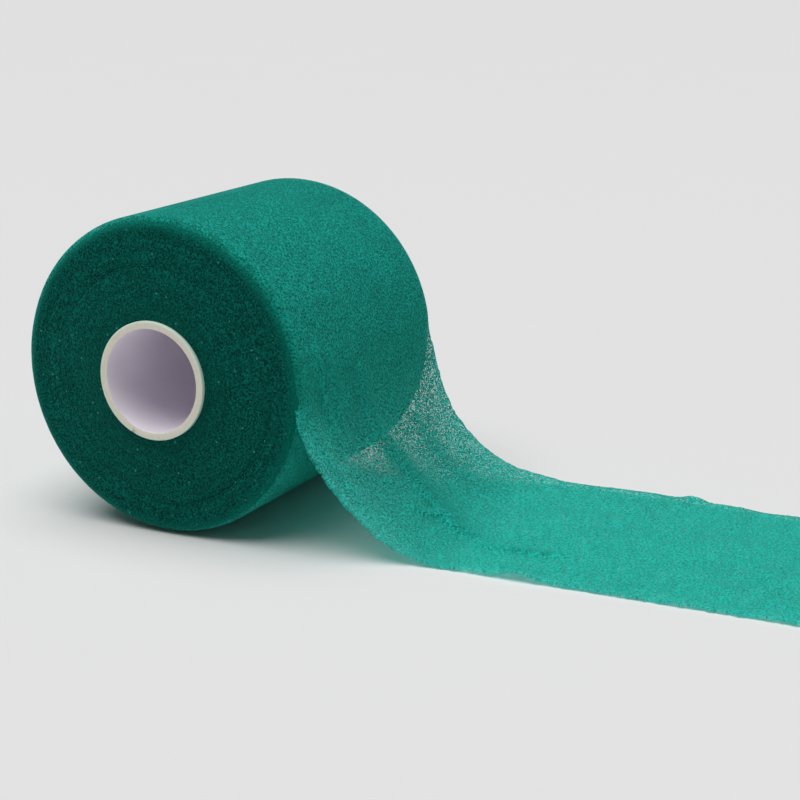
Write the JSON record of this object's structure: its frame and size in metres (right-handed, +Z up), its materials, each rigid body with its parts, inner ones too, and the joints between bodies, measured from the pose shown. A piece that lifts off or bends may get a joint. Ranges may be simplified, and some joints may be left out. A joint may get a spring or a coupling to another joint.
{
  "type": "grip tape roll",
  "caption": "Roll of thin green foam underwrap for racket grips on an open pale core, with its free end hanging off the roll and lying flat ready to be drawn off.",
  "frame": {"origin": "on the table, under the middle of the roll's width and straight below its axis", "axes": "+Z up, +Y along the roll's axis, +X the way the free end is drawn off along the table"},
  "size_m": [0.2142, 0.0818, 0.0783],
  "materials": {
    "core": "satin",
    "wound_foam": "matt",
    "strip_foam": "matt"
  },
  "bodies": {
    "strip": {"last_turn": "strip_foam", "tail_drape": "strip_foam"},
    "roll": {"core_tube": "core", "wound_turns": "wound_foam"},
    "tail": {"tail_laid": "strip_foam"}
  },
  "joints": [
    {"name": "roll_spin", "type": "hinge", "parent": "strip", "child": "roll", "pos_m": [0, 0, 0.03916], "axis": [0, 1, 0], "continuous": true},
    {"name": "tail_lift", "type": "hinge", "parent": "strip", "child": "tail", "pos_m": [0.076, 0.009, 0.00035], "axis": [0, -1, 0], "range_deg": [0, 90]}
  ]
}
